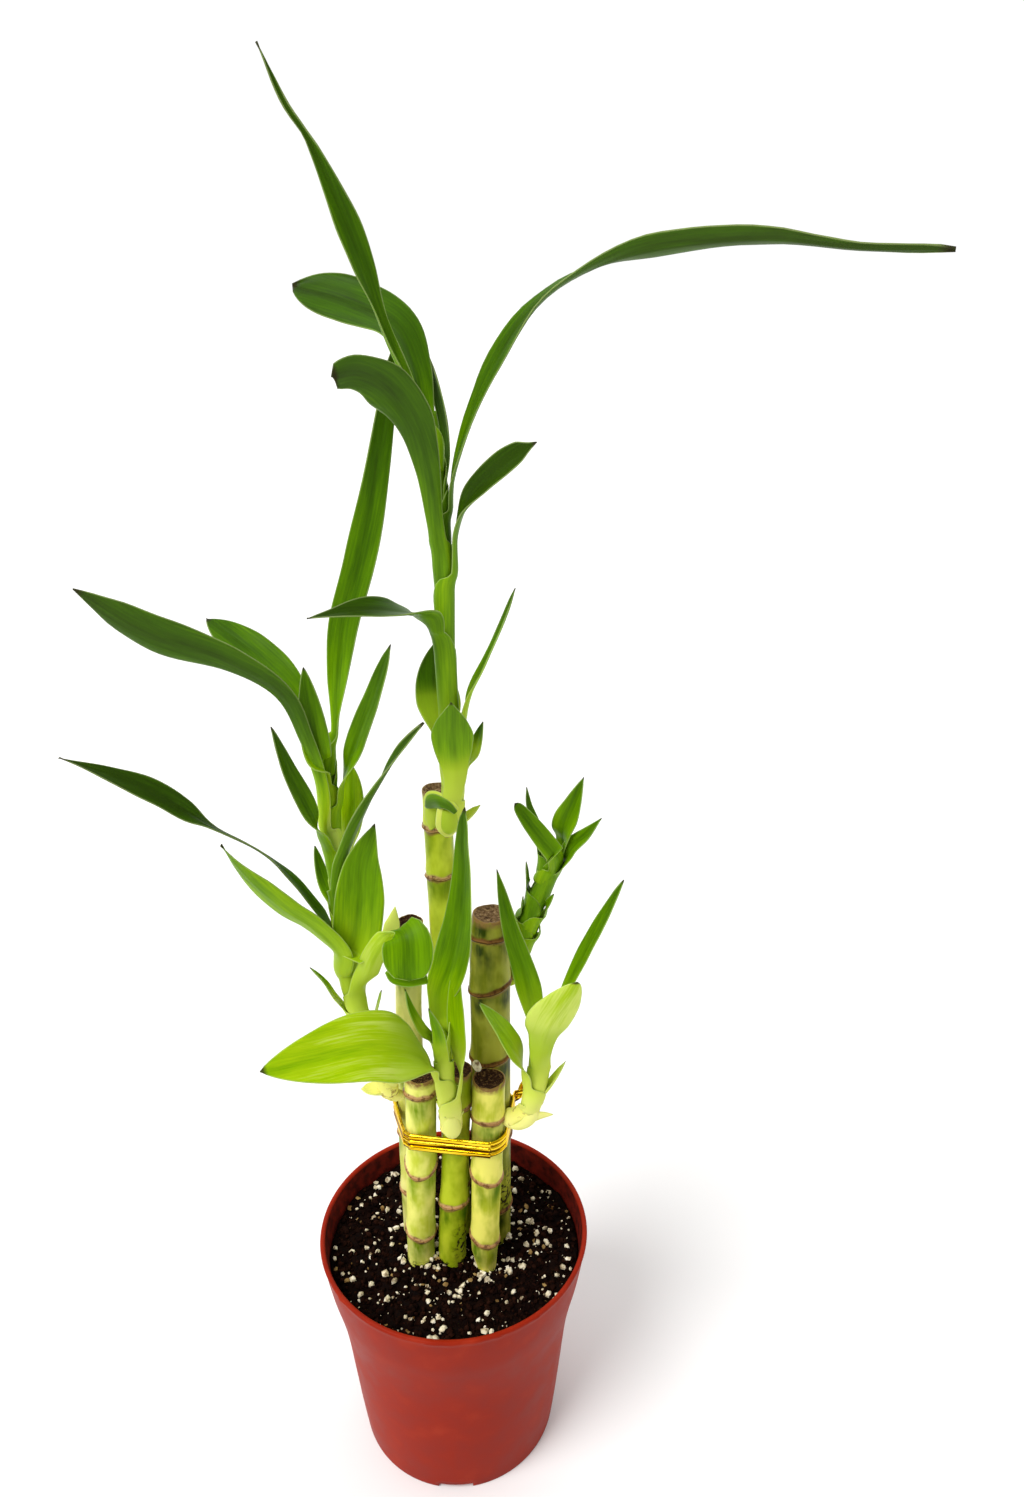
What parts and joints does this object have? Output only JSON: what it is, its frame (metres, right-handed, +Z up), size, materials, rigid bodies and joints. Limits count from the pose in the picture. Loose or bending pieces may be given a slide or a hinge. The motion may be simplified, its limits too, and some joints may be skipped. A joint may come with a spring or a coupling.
{
  "type": "lucky bamboo",
  "caption": "Small potted lucky bamboo: a cluster of jointed green canes tied with gold wire, with leafy shoots, standing in dark soil in a tapered plastic nursery pot.",
  "frame": {"origin": "centre of the pot's foot, on the plane that the pot stands on", "axes": "+Z up along the pot's axis, +X to the right and -Y towards the viewer, seen from the plant's front"},
  "size_m": [0.197, 0.0999, 0.4266],
  "materials": {
    "pot": "matte",
    "soil": "matte",
    "cane": "satin",
    "shoot": "satin",
    "leaf_dark": "satin",
    "leaf_mid": "satin",
    "leaf_bright": "satin",
    "tie": "polished"
  },
  "bodies": {
    "root": {"pot": "pot", "soil": "soil", "cane_back_tall": "cane", "cane_back_right": "cane", "cane_back_left": "cane", "cane_front_left": "cane", "cane_front_right": "cane", "cane_front_middle": "cane", "tie": "tie", "shoot_top": "shoot", "shoot_left": "shoot", "shoot_front": "shoot", "shoot_right": "shoot", "shoot_back_right": "shoot", "leaf_top_01": "leaf_dark", "leaf_top_02": "leaf_dark", "leaf_top_03": "leaf_dark", "leaf_top_04": "leaf_dark", "leaf_top_05": "leaf_dark", "leaf_top_06": "leaf_dark", "leaf_top_07": "leaf_dark", "leaf_top_08": "leaf_dark", "leaf_top_09": "leaf_dark", "leaf_top_10": "leaf_dark", "leaf_top_11": "leaf_dark", "leaf_left_01": "leaf_mid", "leaf_left_02": "leaf_mid", "leaf_left_03": "leaf_mid", "leaf_left_04": "leaf_mid", "leaf_left_05": "leaf_mid", "leaf_left_06": "leaf_mid", "leaf_left_07": "leaf_mid", "leaf_left_08": "leaf_mid", "leaf_left_09": "leaf_mid", "leaf_left_10": "leaf_mid", "leaf_left_11": "leaf_mid", "leaf_left_12": "leaf_mid", "leaf_left_13": "leaf_mid", "leaf_left_14": "leaf_mid", "leaf_left_15": "leaf_mid", "leaf_front_01": "leaf_bright", "leaf_front_02": "leaf_bright", "leaf_front_03": "leaf_bright", "leaf_front_04": "leaf_bright", "leaf_front_05": "leaf_bright", "leaf_right_01": "leaf_bright", "leaf_right_02": "leaf_bright", "leaf_right_03": "leaf_bright", "leaf_right_04": "leaf_bright"}
  },
  "joints": []
}
